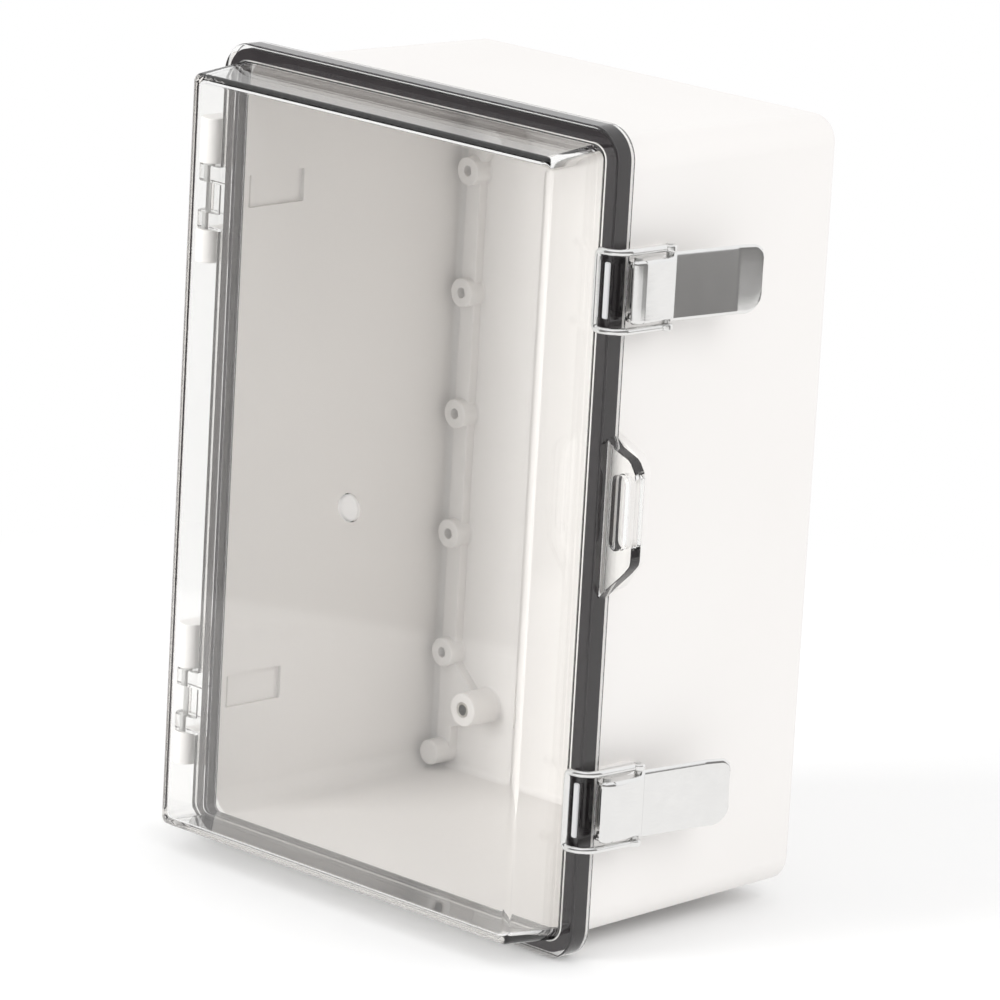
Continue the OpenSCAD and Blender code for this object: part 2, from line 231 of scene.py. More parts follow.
@dataclass(frozen=True)
class MouldedPlastic:
    """Opaque moulded polycarbonate: a satin skin with a very fine grain and faint flow marks."""

    light: tuple[float, float, float] = (0.87, 0.85, 0.833)
    dark: tuple[float, float, float] = (0.845, 0.822, 0.802)

    def make(self) -> bpy.types.Material:
        """Builds the material.

        Returns:
            The material.
        """
        material, tree, output = blank_material("moulded_plastic")
        cloud = tree.noise(70, 3)
        grain = tree.noise(0.9, 2)
        shader = tree.add(
            "ShaderNodeBsdfPrincipled",
            Base_Color=tree.mix(cloud, self.light, self.dark),
            Roughness=0.34 + 0.10 * grain + 0.06 * cloud,
            IOR=1.58,
            Normal=tree.bump(grain + 0.4 * tree.noise(9, 1), 0.012),
        )
        tree.plug(output.inputs["Surface"], shader.outputs[0])
        return material


@dataclass(frozen=True)
class ClearPlastic:
    """Clear polycarbonate that bends light and lets lamps shine through to what is inside."""

    tint: tuple[float, float, float, float] = (0.985, 0.985, 0.98, 1)
    ior: float = 1.585
    gate: tuple[float, float] = (0.6, -1.2)
    gate_r: float = 5.2
    rib_x: float = 97.5
    rib_half: float = 10.4
    rib_back: float = -121.1
    rib_heights: tuple[float, float] = (94.0, -93.0)

    def frosted(self, tree: Tree) -> tuple[Val, Val]:
        """Shares of frosting: within the gate mark's circle, and on the two catch ribs.

        The circle's share is its radius less sqrt(x^2 + z^2) about its middle, and a rib's is the
        product of one ramp for each of its sides; each ramp is held between 0 and 1.

        Args:
            tree: tree that the nodes go into.

        Returns:
            The mark's share and the ribs' share, each from 0 to 1.
        """
        edge = 3000.0
        split = tree.add("ShaderNodeSeparateXYZ", Vector=tree.position())
        x, y, z = (tree.val(split, axis) for axis in "XYZ")
        off_x, off_z = (x - self.gate[0] * MM).size(), (z - self.gate[1] * MM).size()
        away = tree.val(
            tree.add("ShaderNodeMath", {"operation": "SQRT"}, x0=off_x * off_x + off_z * off_z)
        )
        mark = ((self.gate_r * MM - away) * edge).clamp()
        ribs: Any = 0.0
        for height in self.rib_heights:
            within = ((self.rib_half * MM - (z - height * MM).size()) * edge).clamp()
            outside = ((x - self.rib_x * MM) * edge).clamp() * ((self.rib_back * MM - y) * edge).clamp()
            ribs = within * outside + ribs
        return mark, ribs.clamp()

    def make(self) -> bpy.types.Material:
        """Builds the material.

        Returns:
            The material.
        """
        material, tree, output = blank_material("clear_plastic")
        wave = tree.noise(38, 1)
        mark, ribs = self.frosted(tree)
        shader = tree.add(
            "ShaderNodeBsdfPrincipled",
            Base_Color=self.tint,
            Roughness=0.008 + 0.014 * tree.noise(55, 4) + 0.3 * (mark + ribs),
            IOR=self.ior,
            Transmission_Weight=1.0,
            Normal=tree.bump(wave, 0.02),
        )
        through = tree.add("ShaderNodeBsdfTransparent", Color=(0.97, 0.97, 0.965, 1))
        path = tree.add("ShaderNodeLightPath")
        both = tree.add("ShaderNodeMixShader", x0=path.outputs["Is Shadow Ray"])
        tree.plug(both.inputs[1], shader.outputs[0])
        tree.plug(both.inputs[2], through.outputs[0])
        milky = tree.add("ShaderNodeBsdfDiffuse", Color=(0.93, 0.93, 0.94, 1))
        share = 0.08 * mark + 0.55 * ribs
        skin = tree.add("ShaderNodeMixShader", x0=share, x1=both.outputs[0], x2=milky.outputs[0])
        tree.plug(output.inputs["Surface"], skin.outputs[0])
        return material


@dataclass(frozen=True)
class FoamSeal:
    """Dark foamed seal with open pores on its skin."""

    light: tuple[float, float, float] = (0.036, 0.031, 0.033)
    dark: tuple[float, float, float] = (0.02, 0.017, 0.019)

    def make(self) -> bpy.types.Material:
        """Builds the material.

        Returns:
            The material.
        """
        material, tree, output = blank_material("foam_seal")
        pores = tree.val(
            tree.add("ShaderNodeTexVoronoi", Vector=tree.position(), Scale=1.0 / (0.7 * MM)), "Distance"
        )
        shader = tree.add(
            "ShaderNodeBsdfPrincipled",
            Base_Color=tree.mix(tree.noise(6, 3), self.light, self.dark),
            Roughness=0.68 + 0.2 * tree.noise(4, 2),
            Specular_IOR_Level=0.25,
            Normal=tree.bump(pores, 0.06, 0.6),
        )
        tree.plug(output.inputs["Surface"], shader.outputs[0])
        return material


@dataclass(frozen=True)
class Steel:
    """Stainless steel: base roughness, length of the polishing lines and how deep they are."""

    name: str
    colour: tuple[float, float, float]
    rough: float
    line_mm: float
    depth_mm: float
    lines_along: tuple[float, float, float] = (1, 0.06, 1)

    def make(self) -> bpy.types.Material:
        """Builds the material.

        Returns:
            The material.
        """
        material, tree, output = blank_material(self.name)
        lines = tree.noise(self.line_mm, 3, self.lines_along)
        smear = tree.noise(8, 2)
        worn = tuple(0.9 * c for c in self.colour)
        shader = tree.add(
            "ShaderNodeBsdfPrincipled",
            Base_Color=tree.mix(0.6 * lines + 0.4 * smear, self.colour, worn),
            Roughness=(self.rough + 0.10 * lines + 0.06 * smear).clamp(),
            Metallic=1.0,
            Normal=tree.bump(lines, self.depth_mm),
        )
        tree.plug(output.inputs["Surface"], shader.outputs[0])
        return material


@dataclass
class Finishes:
    """One material for each slot, made once."""

    made: dict[Slot, bpy.types.Material] = field(default_factory=dict)

    def __post_init__(self) -> None:
        """Makes every material."""
        self.made = {
            Slot.BASE: MouldedPlastic().make(),
            Slot.CLEAR: ClearPlastic().make(),
            Slot.GASKET: FoamSeal().make(),
            Slot.INSERT: Steel("plated_insert", (0.66, 0.64, 0.6), 0.3, 0.5, 0.01, (1, 1, 1)).make(),
            Slot.PIN: Steel("drawn_pin", (0.72, 0.72, 0.71), 0.22, 0.3, 0.004, (1, 1, 0.08)).make(),
            Slot.LATCH: Steel("polished_latch", (0.88, 0.88, 0.875), 0.09, 0.4, 0.002).make(),
        }

    def dress(self, piece: bpy.types.Object, slot: Slot) -> None:
        """Gives a piece one slot's finish.

        Args:
            piece: the object.
            slot: the slot.
        """
        piece.data.materials.clear()
        piece.data.materials.append(self.made[slot])


# ---- Surfaces ----


def arc(centre: Sequence[float], r: float, start: float, end: float, steps: int) -> Array:
    """Points of an arc: centre plus r times (cos a, sin a), a from start to end in degrees."""
    a = np.radians(np.linspace(start, end, steps + 1))
    return np.asarray(centre) + r * np.stack([np.cos(a), np.sin(a)], axis=1)


def rounded_rect(width: float, height: float, r: float, steps: int = 10) -> Array:
    """Loop of a rectangle with round corners.

    Each corner is a quarter circle of radius r about a point r inside both sides, so every call
    with the same steps gives as many points, in the same order, and loops can be joined.

    Args:
        width: full size along X.
        height: full size along Z.
        r: corner radius.
        steps: steps of each quarter circle.

    Returns:
        (4 * (steps + 1), 2) array, anticlockwise seen with X right and Z up.
    """
    signs = np.array([[1, 1], [-1, 1], [-1, -1], [1, -1]], float)
    centres = signs * [width / 2 - r, height / 2 - r]
    return np.concatenate([arc(c, r, 90 * k, 90 * k + 90, steps) for k, c in enumerate(centres)])


def fillet(points: Sequence[Sequence[float]], radii: Sequence[float], steps: int = 4) -> Array:
    """A profile with its corners rounded.

    At a corner with radius r the arc starts and ends r / tan(half the angle) along both sides,
    and its points follow the circle that touches them. A radius of 0 keeps the corner.

    Args:
        points: corners of the open profile.
        radii: one radius for each corner; the first and last are not used.
        steps: steps of each arc.

    Returns:
        (n, 2) array of points.
    """
    p = np.asarray(points, float)
    out = [p[:1]]
    for k in range(1, len(p) - 1):
        a, b = p[k - 1] - p[k], p[k + 1] - p[k]
        a, b = a / np.linalg.norm(a), b / np.linalg.norm(b)
        half = math.acos(float(np.clip(a @ b, -1, 1))) / 2
        if radii[k] <= 0 or half > math.radians(89):
            out.append(p[k : k + 1])
            continue
        middle = p[k] + (a + b) / np.linalg.norm(a + b) * radii[k] / math.sin(half)
        first, last = p[k] + a * radii[k] / math.tan(half), p[k] + b * radii[k] / math.tan(half)
        t = np.linspace(0, 1, steps + 1)[:, None]
        chord = first + t * (last - first) - middle
        out.append(middle + radii[k] * chord / np.linalg.norm(chord, axis=1, keepdims=True))
    out.append(p[-1:])
    return np.concatenate(out)


def grid_faces(rows: int, columns: int, closed_rows: bool, closed_columns: bool) -> list[list[int]]:
    """Quads of a grid of points.

    Args:
        rows: points along the first direction.
        columns: points along the second direction.
        closed_rows: joins the last row to the first.
        closed_columns: joins the last column to the first.

    Returns:
        Four indices for each quad.
    """
    i = np.arange(rows if closed_rows else rows - 1)
    j = np.arange(columns if closed_columns else columns - 1)
    a, b = (g.ravel() for g in np.meshgrid(i, j, indexing="ij"))
    a2, b2 = (a + 1) % rows, (b + 1) % columns
    quads = np.stack([a * columns + b, a * columns + b2, a2 * columns + b2, a2 * columns + b], axis=1)
    return quads.tolist()


def loft(loops: Array, closed: bool = False) -> Surface:
    """Closed surface through loops of points.

    Args:
        loops: (rows, columns, 3) array; each row is a closed loop.
        closed: joins the last loop to the first; otherwise both ends are capped flat.

    Returns:
        Points (n, 3) and faces.
    """
    rows, columns = loops.shape[:2]
    faces = grid_faces(rows, columns, closed, True)
    if not closed:
        faces.append(list(range(columns))[::-1])
        faces.append([(rows - 1) * columns + k for k in range(columns)])
    return loops.reshape(-1, 3), faces


PLANES = {"xy": (0, 1, 2), "xz": (0, 2, 1), "yz": (1, 2, 0)}


def slab(outline: Array, low: float, high: float, plane: str = "xy") -> Surface:
    """Flat plate of an outline between two levels.

    Args:
        outline: (n, 2) loop in the plane.
        low: lower level on the axis that the plane leaves out.
        high: upper level on that axis.
        plane: a key of PLANES.

    Returns:
        Points and faces.
    """
    order = PLANES[plane]
    loops = np.zeros((2, len(outline), 3))
    loops[:, :, order[0]] = outline[:, 0]
    loops[:, :, order[1]] = outline[:, 1]
    loops[0, :, order[2]] = low
    loops[1, :, order[2]] = high
    return loft(loops)


def lathe(profile: Array, centre: Sequence[float], axis: int, steps: int = 40) -> Surface:
    """Surface of revolution: radius and height along an axis, turned round it.

    A point at radius r and height h goes to r (cos a, sin a) across the axis and h along it. A
    profile that starts and ends on the axis gives a closed solid.

    Args:
        profile: (n, 2) array of radius and height.
        centre: point on the axis where the height is 0.
        axis: 0, 1 or 2 for X, Y or Z.
        steps: points round the axis.

    Returns:
        Points and faces, with the poles as flat caps of a hair's width.
    """
    a = np.linspace(0, 2 * np.pi, steps, endpoint=False)
    r = np.maximum(profile[:, :1], 0.01)
    loops = np.zeros((len(profile), steps, 3))
    across = [k for k in range(3) if k != axis]
    loops[:, :, across[0]] = r * np.cos(a)
    loops[:, :, across[1]] = r * np.sin(a)
    loops[:, :, axis] = profile[:, 1:]
    return loft(loops + np.asarray(centre, float))


def inset_loop(outline: Array, inset: float) -> Array:
    """A loop drawn in along the bisector at each point.

    A point moves by inset / (bisector . side normal), so that both sides move by inset.

    Args:
        outline: (n, 2) closed loop.
        inset: distance, or a negative one to draw the loop out.

    Returns:
        (n, 2) closed loop.
    """
    before, after = np.roll(outline, 1, axis=0), np.roll(outline, -1, axis=0)
    a, b = outline - before, after - outline
    a, b = a / np.linalg.norm(a, axis=1, keepdims=True), b / np.linalg.norm(b, axis=1, keepdims=True)
    area = np.sum(outline[:, 0] * after[:, 1] - after[:, 0] * outline[:, 1])
    turn = 1 if area > 0 else -1
    inward = turn * np.stack([-(a + b)[:, 1], (a + b)[:, 0]], axis=1)
    inward /= np.linalg.norm(inward, axis=1, keepdims=True)
    normal = turn * np.stack([-a[:, 1], a[:, 0]], axis=1)
    share = np.sum(inward * normal, axis=1, keepdims=True)
    return outline + inset * inward / np.maximum(share, 0.4)


def rounded_slab(outline: Array, low: float, high: float, r: float, plane: str = "xy") -> Surface:
    """Plate of an outline with rounded rims.

    At the angle a of a rim the loop is drawn in by r (1 - sin a), at r (1 - cos a) from the face.

    Args:
        outline: (n, 2) loop in the plane.
        low: lower level on the axis that the plane leaves out.
        high: upper level on that axis.
        r: radius of the rims.
        plane: a key of PLANES.

    Returns:
        Points and faces.
    """
    order = PLANES[plane]
    t = np.linspace(0, np.pi / 2, 4)
    near = [(r * (1 - math.sin(a)), low + r * (1 - math.cos(a))) for a in t]
    far = [(inset, high + low - level) for inset, level in near[::-1]]
    loops = np.zeros((2 * len(t), len(outline), 3))
    for k, (inset, level) in enumerate(near + far):
        flat = inset_loop(outline, inset)
        loops[k, :, order[0]] = flat[:, 0]
        loops[k, :, order[1]] = flat[:, 1]
        loops[k, :, order[2]] = level
    return loft(loops)


def tube(line: Array, r: float, steps: int = 20) -> Surface:
    """Round wire of radius r along a line of points in space.

    Each ring stands square to the line and is carried on from the last without a twist: the first
    cross direction loses its part along the new heading and is made one long again.

    Args:
        line: (n, 3) array of points.
        r: radius of the wire.
        steps: points of each ring.

    Returns:
        Points and faces.
    """
    ahead = np.gradient(line, axis=0)
    ahead /= np.linalg.norm(ahead, axis=1, keepdims=True)
    side = np.array([0.0, 0.0, 1.0])
    a = np.linspace(0, 2 * np.pi, steps, endpoint=False)[:, None]
    rings = []
    for point, heading in zip(line, ahead):
        side = side - heading * (side @ heading)
        side /= np.linalg.norm(side)
        rings.append(point + r * (np.cos(a) * side + np.sin(a) * np.cross(heading, side)))
    return loft(np.array(rings))


def resample(loop: Array, count: int) -> Array:
    """Points at even steps of length round a closed loop.

    Args:
        loop: (n, 2) closed loop.
        count: number of points.

    Returns:
        (count, 2) closed loop.
    """
    closed = np.vstack([loop, loop[:1]])
    length = np.concatenate([[0], np.cumsum(np.linalg.norm(np.diff(closed, axis=0), axis=1))])
    at = np.linspace(0, length[-1], count, endpoint=False)
    return np.stack([np.interp(at, length, closed[:, k]) for k in (0, 1)], axis=1)


def resample_open(line: Array, count: int) -> Array:
    """Points along an open line: its own corners, and even steps of length between them.

    Args:
        line: (n, 2) open line.
        count: number of even steps.

    Returns:
        (m, 2) open line, with no two points closer than a hair.
    """
    length = np.concatenate([[0], np.cumsum(np.linalg.norm(np.diff(line, axis=0), axis=1))])
    at = np.union1d(np.linspace(0, length[-1], count), length)
    at = at[np.insert(np.diff(at) > 0.03, 0, True)]
    return np.stack([np.interp(at, length, line[:, k]) for k in (0, 1)], axis=1)


def match_rays(loop: Array, inner: Array, centre: Array) -> Array:
    """One point of a loop for each inner point, by its share of the way round from the same side.

    Args:
        loop: (n, 2) outer loop.
        inner: (m, 2) inner loop.
        centre: middle of the inner loop.

    Returns:
        (m, 2) points of the outer loop.
    """
    count = 720
    dense = resample(loop, count)
    area = np.sum(dense[:, 0] * np.roll(dense[:, 1], -1) - np.roll(dense[:, 0], -1) * dense[:, 1])
    if area < 0:
        dense = dense[::-1]
    start = int(np.argmin(np.linalg.norm(dense - (inner[0] + 3 * (inner[0] - centre)), axis=1)))
    dense = np.roll(dense, -start, axis=0)
    return dense[(np.arange(len(inner)) * count) // len(inner)]


def make_piece(name: str, parts: Sequence[Surface]) -> bpy.types.Object:
    """One object from closed surfaces, in metres, with every face turned outwards.

    Args:
        name: name of the piece.
        parts: points and faces of each surface, in millimetres.

    Returns:
        The object, at the origin.
    """
    points, faces, start = [], [], 0
    for part_points, part_faces in parts:
        points.append(part_points)
        faces += [[start + k for k in face] for face in part_faces]
        start += len(part_points)
    mesh = bpy.data.meshes.new(name)
    mesh.from_pydata((np.concatenate(points) * MM).tolist(), [], faces)
    piece = bpy.data.objects.new(name, mesh)
    bpy.context.scene.collection.objects.link(piece)
    turn_outwards(mesh)
    return piece


def turn_outwards(mesh: bpy.types.Mesh) -> None:
    """Recalculates the normals, so that each closed shell faces outwards.

    Args:
        mesh: the mesh, changed in place.
    """
    work = bmesh.new()
    work.from_mesh(mesh)
    bmesh.ops.recalc_face_normals(work, faces=work.faces)
    work.to_mesh(mesh)
    work.free()


def combine(piece: bpy.types.Object, tool: bpy.types.Object, operation: str) -> None:
    """Adds or cuts a tool object with an exact Boolean, then throws the tool away.

    Args:
        piece: the object that is changed.
        tool: the object that is added or cut out.
        operation: UNION or DIFFERENCE.
    """
    cut = piece.modifiers.new(operation.lower(), "BOOLEAN")
    cut.operation = operation
    cut.object = tool
    cut.solver = "EXACT"
    cut.use_self = True
    settle(piece)
    bpy.data.objects.remove(tool)


def settle(piece: bpy.types.Object) -> None:
    """Applies the modifiers of a piece to its mesh.

    Args:
        piece: the object, changed in place.
    """
    bpy.context.view_layer.update()
    evaluated = piece.evaluated_get(bpy.context.evaluated_depsgraph_get())
    mesh = bpy.data.meshes.new_from_object(evaluated)
    piece.modifiers.clear()
    piece.data = mesh


def round_edges(piece: bpy.types.Object, radius_mm: float, steps: int, sharp: float) -> None:
    """Rounds the edges of a piece.

    Args:
        piece: the object, changed in place.
        radius_mm: radius of the rounding.
        steps: segments of each rounding.
        sharp: edges above this angle in degrees are rounded.
    """
    bevel = piece.modifiers.new("round", "BEVEL")
    bevel.width = radius_mm * MM
    bevel.segments = steps
    bevel.limit_method = "ANGLE"
    bevel.angle_limit = math.radians(sharp)
    bevel.use_clamp_overlap = True
    settle(piece)


def soften(piece: bpy.types.Object, radius_mm: float = 0.0, steps: int = 2, sharp: float = 34) -> None:
    """Rounds the edges of a piece and shades it smooth, with flat faces kept flat.

    Args:
        piece: the object, new or packed.
        radius_mm: radius of the rounded edges, or 0 to leave them.
        steps: segments of each rounding.
        sharp: edges above this angle in degrees are rounded, or stay sharp where radius is 0.
    """
    if radius_mm:
        round_edges(piece, radius_mm, steps, sharp)
    piece.data.shade_smooth()
    piece.data.set_sharp_from_angle(angle=math.radians(sharp))
    weighted = piece.modifiers.new("flat", "WEIGHTED_NORMAL")
    weighted.keep_sharp = True
    weighted.weight = 60
    settle(piece)


# ---- Sizes ----


@dataclass
class Box:
    """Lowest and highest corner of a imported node, in millimetres."""

    low: Array
    high: Array

    @classmethod
    def of(cls, node: str) -> "Box":
        """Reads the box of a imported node."""
        low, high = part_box(node)
        return cls(np.array(low) / MM, np.array(high) / MM)

    @property
    def size(self) -> Array:
        """Size along X, Y and Z."""
        return self.high - self.low

    @property
    def middle(self) -> Array:
        """Middle of the box."""
        return (self.high + self.low) / 2


@dataclass
class Layout:
    """Sizes that several pieces share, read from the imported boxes."""

    gasket: Box = field(default_factory=lambda: Box.of("gasket"))
    cover: Box = field(default_factory=lambda: Box.of("cover"))
    flange_r: float = 12.0
    least_r: float = 2.5
    skirt_depth: float = 9.0
    channel_wall: float = 1.8

    @property
    def height(self) -> float:
        """Height of the flange."""
        return float(self.cover.size[2])

    @property
    def seal_in(self) -> float:
        """Inset of the gasket from the flange outline."""
        return (self.height - float(self.gasket.size[2])) / 2

    @property
    def width(self) -> float:
        """Width of the flange."""
        return float(self.gasket.size[0]) + 2 * self.seal_in

    @property
    def front(self) -> float:
        """Y of the dome's front panel."""
        return float(self.cover.low[1])

    @property
    def channel(self) -> float:
        """Y of the gasket's front, which is the channel's floor."""
        return float(self.gasket.low[1])

    @property
    def rim(self) -> float:
        """Y of the gasket's back, which is the rim of the base."""
        return float(self.gasket.high[1])

    @property
    def flange(self) -> float:
        """Y of the flange's front face."""
        return self.channel - self.channel_wall

    @property
    def skirt(self) -> float:
        """Y of the skirt's back edge."""
        return self.flange + self.skirt_depth

    def swept(self, profile: Array, corner_in: float = 0.0, steps: int = 10) -> Array:
        """A profile carried round the flange outline.

        A profile point at inset i and depth y becomes the loop of the flange outline drawn in by
        i, with its corner radius made smaller by i but never under least_r, on the plane Y = y.

        Args:
            profile: (n, 2) array of inset and Y.
            corner_in: how much of the inset does not shrink the corner radius.
            steps: steps of each corner.

        Returns:
            (n, columns, 3) array of loops.
        """
        loops = []
        for inset, y in profile:
            r = max(self.flange_r - max(inset - corner_in, 0), self.least_r)
            flat = rounded_rect(self.width - 2 * inset, self.height - 2 * inset, r, steps)
            loops.append(np.insert(flat, 1, y, axis=1))
        return np.array(loops)


# ---- The base ----


@dataclass(frozen=True)
class Hinge:
    """One hinge: where its pin runs, and the lengths of its three knuckles along the pin."""

    which: str
    above: float = 17.0
    clear: float = 24.0
    below: float = 12.5

    @property
    def pin(self) -> Box:
        """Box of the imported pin."""
        return Box.of(f"hinge_pin_{self.which}")

    @property
    def middle(self) -> float:
        """Z of the clear knuckle's middle."""
        return float(self.pin.low[2]) + self.below + self.clear / 2


@dataclass
class PadlockEar:
    """Tapered tab with a slot for a padlock's shackle, the same on the base and the cover."""

    root: float
    out: float
    middle_z: float = 16.0
    slot: tuple[float, float] = (6.4, 27.0)

    def outline(self, half: float) -> Array:
        """Outer outline of the tab, with its corners rounded.

        Args:
            half: X of the flange's side.

        Returns:
            (n, 2) loop.
        """
        root, out = self.root, self.out
        top, foot = self.middle_z + self.slot[1] / 2, self.middle_z - self.slot[1] / 2
        corners = [
            (root, foot), (root, top + 13), (half + 3.5, top + 9), (out - 3, top + 6), (out, top + 1.5),
            (out, foot - 4), (out - 3.4, foot - 8), (half + 3.6, foot - 15), (root, foot - 20), (root, foot),
        ]
        return fillet(corners, [0, 0, 3, 3, 2.5, 2.5, 2.5, 3, 0, 0], 5)[:-1]

    def solid(self, lay: Layout, front: float, thick: float, r: float = 0.5) -> Surface:
        """The tab as a closed ring, whose outer and inner loops have the same number of points.

        Args:
            lay: shared sizes.
            front: Y of the front face.
            thick: thickness along Y.
            r: radius of the rounded rims.

        Returns:
            Points and faces.
        """
        half = lay.width / 2
        centre = np.array([half + 3.4 + self.slot[0] / 2, self.middle_z])
        run = (self.slot[1] - self.slot[0]) / 2
        r_slot = self.slot[0] / 2
        slot = np.concatenate(
            [arc(centre + [0, run], r_slot, 0, 180, 14), arc(centre - [0, run], r_slot, 180, 360, 14)]
        )
        rays = resample(slot, 72)
        outer = match_rays(self.outline(half), rays, centre)
        t = np.linspace(0, np.pi / 2, 4)
        rims = [(r * (1 - math.sin(a)), r * (1 - math.cos(a))) for a in t]
        levels = [(inset, front + depth) for inset, depth in rims]
        levels += [(inset, front + thick - depth) for inset, depth in rims[::-1]]
        loops = [np.insert(inset_loop(outer, inset), 1, y, axis=1) for inset, y in levels]
        loops += [np.insert(inset_loop(rays, -inset), 1, y, axis=1) for inset, y in levels[::-1]]
        return loft(np.array(loops), closed=True)


@dataclass(frozen=True)
class RoundBoss:
    """Round boss: its radius, the Y of its face, and the radius and depth of its hole, if any."""

    r: float
    face: float
    hole_r: float = 0.0
    hole_y: float = 0.0

    def solid(self, x: float, z: float, floor: float) -> Surface:
        """The boss with a flared foot, a round shoulder and a straight bore.

        Args:
            x: X of its axis.
            z: Z of its axis.
            floor: Y of the floor it stands on.

        Returns:
            Points and faces.
        """
        foot, root, flare = floor + 0.06, floor + 0.86, self.r + 2
        wall = [(self.r, self.face), (self.r + 0.12, foot), (flare, foot), (flare, root), (0, root)]
        radii = [0.6, 1.0, 0, 0, 0]
        if self.hole_r > 0:
            hole = [(0, self.hole_y), (self.hole_r, self.hole_y), (self.hole_r, self.face)]
            corners, radii = hole + wall, [0, 0.2, 0.3] + radii
        else:
            corners, radii = [(0, self.face)] + wall, [0] + radii
        return lathe(fillet(corners, radii), (x, 0, z), 1, 48)


@dataclass
class BaseShell:
    """Opaque tub with a rim collar, bosses, hinge knuckles, latch pads and a padlock tab.

    Depths are Y values, so a face further out of the wall is more negative.
    """

    layout: Layout
    wall: float = 3.0
    back_wall: float = 3.5
    front_in: float = 5.0
    back_in: float = 7.3
    collar_in: float = 3.0
    collar_deep: float = 2.5
    column_x: float = 81.0
    column_pitch: float = 46.8
    boss: RoundBoss = RoundBoss(5.5, -10.8, 2.0, -4.2)
    panel_pitch: tuple[float, float] = (124.0, 222.0)
    panel_boss: RoundBoss = RoundBoss(6.5, -17.0, 3.01, -8.0)
    fixing_pitch: tuple[float, float] = (164.0, 266.0)
    fixing_post: RoundBoss = RoundBoss(4.8, -14.0)
    fixing_hole: tuple[float, float] = (2.2, -11.0)
    rib_width: float = 7.2
    rib_face: float = -7.2
    recess: tuple[float, float] = (27.0, 12.4)
    recess_heights: tuple[float, float] = (94.0, -96.0)

    def tub(self) -> bpy.types.Object:
        """Walls, floor and rim: one profile from the inner floor over the rim to the back face.

        Returns:
            The object.
        """
        lay = self.layout
        rim, behind = lay.rim, lay.skirt + self.collar_deep
        corners = [
            (self.back_in + self.wall + 4, -self.back_wall),
            (self.back_in + self.wall, -self.back_wall),
            (self.front_in + self.wall, rim),
            (self.collar_in, rim),
            (self.collar_in, behind),
            (self.front_in, behind + 1.6),
            (self.back_in, 0),
            (self.back_in + 6, 0),
        ]
        profile = fillet(corners, [0, 2.5, 0.5, 0.7, 0.5, 1.2, 3, 0], 5)
        return make_piece("base_shell_body", [loft(lay.swept(profile, self.front_in))])

    def rib(self, outline: Array, face: float, draft: float = 0.2) -> Surface:
        """Raised rib on the floor, drafted and rounded along its top edge.

        Args:
            outline: (n, 2) loop of the rib's top.
            face: Y of the rib's top.
            draft: how much wider the foot is on each side.

        Returns:
            Points and faces.
        """
        levels = [(-draft, 1 - self.back_wall), (0, face + 0.5), (0.15, face + 0.15), (0.5, face)]
        loops = [np.insert(inset_loop(outline, inset), 1, y, axis=1) for inset, y in levels]
        return loft(np.array(loops))

    def gusset(self, side: int, up: int) -> Surface:
        """Web from the last boss of a row to the panel boss and the corner post beside it.

        Args:
            side: -1 for the hinges' side, 1 for the latches' side.
            up: -1 for the lower corner, 1 for the upper corner.

        Returns:
            Points and faces.
        """
        end_z = 2 * self.column_pitch
        half_x, half_z = self.panel_pitch[0] / 2, self.panel_pitch[1] / 2
        outer_x, inner_x = self.column_x + self.rib_width / 2, self.column_x - self.rib_width / 2
        corners = [
            (outer_x, end_z), (inner_x, end_z + 3.4), (half_x + 5, half_z - 4.4),
            (half_x, half_z + 6), (inner_x, half_z + 12), (outer_x, half_z + 12),
        ]
        web = fillet(corners, [0, 1, 1, 1, 3, 0])
        return self.rib(web * [side, up], self.rib_face - 0.01)

    def inside(self) -> list[Surface]:
        """Boss rows, panel bosses, blind posts, and the ribs and gussets between them.

        Returns:
            Points and faces of each.
        """
        parts = []
        floor = -self.back_wall
        panel_x, panel_z = self.panel_pitch[0] / 2, self.panel_pitch[1] / 2
        post_x, post_z = self.fixing_pitch[0] / 2, self.fixing_pitch[1] / 2
        for side in (-1, 1):
            x = side * self.column_x
            for k in range(-2, 3):
                parts.append(self.boss.solid(x, k * self.column_pitch, floor))
            row = rounded_rect(self.rib_width, 2 * post_z, 1.5, 3) + [x, 0]
            parts.append(self.rib(row, self.rib_face))
            for up in (-1, 1):
                parts.append(self.panel_boss.solid(side * panel_x, up * panel_z, floor))
                parts.append(self.fixing_post.solid(side * post_x, up * post_z, floor))
                parts.append(self.gusset(side, up))
        return parts

    def knuckles(self) -> list[Surface]:
        """Hinge knuckles: a round barrel with a foot that runs back and in to the wall.

        Returns:
            Points and faces of each.
        """
        lay = self.layout
        parts = []
        inner = -(lay.width / 2 - self.front_in - 1)
        barrel_r, front, play = 4.5, lay.skirt + 0.7, 0.3
        for hinge in (Hinge("upper"), Hinge("lower")):
            x, y = hinge.pin.middle[0], hinge.pin.middle[1]
            foot = [
                (x - barrel_r, y), (x - barrel_r, front + 8), (inner, front + 8), (inner, front),
                (x + barrel_r, front), (x + barrel_r, y),
            ]
            foot = fillet(foot, [0, 2.5, 0, 0, 0.6, 0], 5)[1:-1]
            outline = np.concatenate([arc((x, y), barrel_r, 0, -180, 20), foot])
            top = hinge.middle + hinge.clear / 2 + play
            bottom = hinge.middle - hinge.clear / 2 - play
            parts.append(rounded_slab(outline, top, top + hinge.above, 0.5))
            parts.append(rounded_slab(outline, bottom - hinge.below, bottom, 0.5))
        return parts

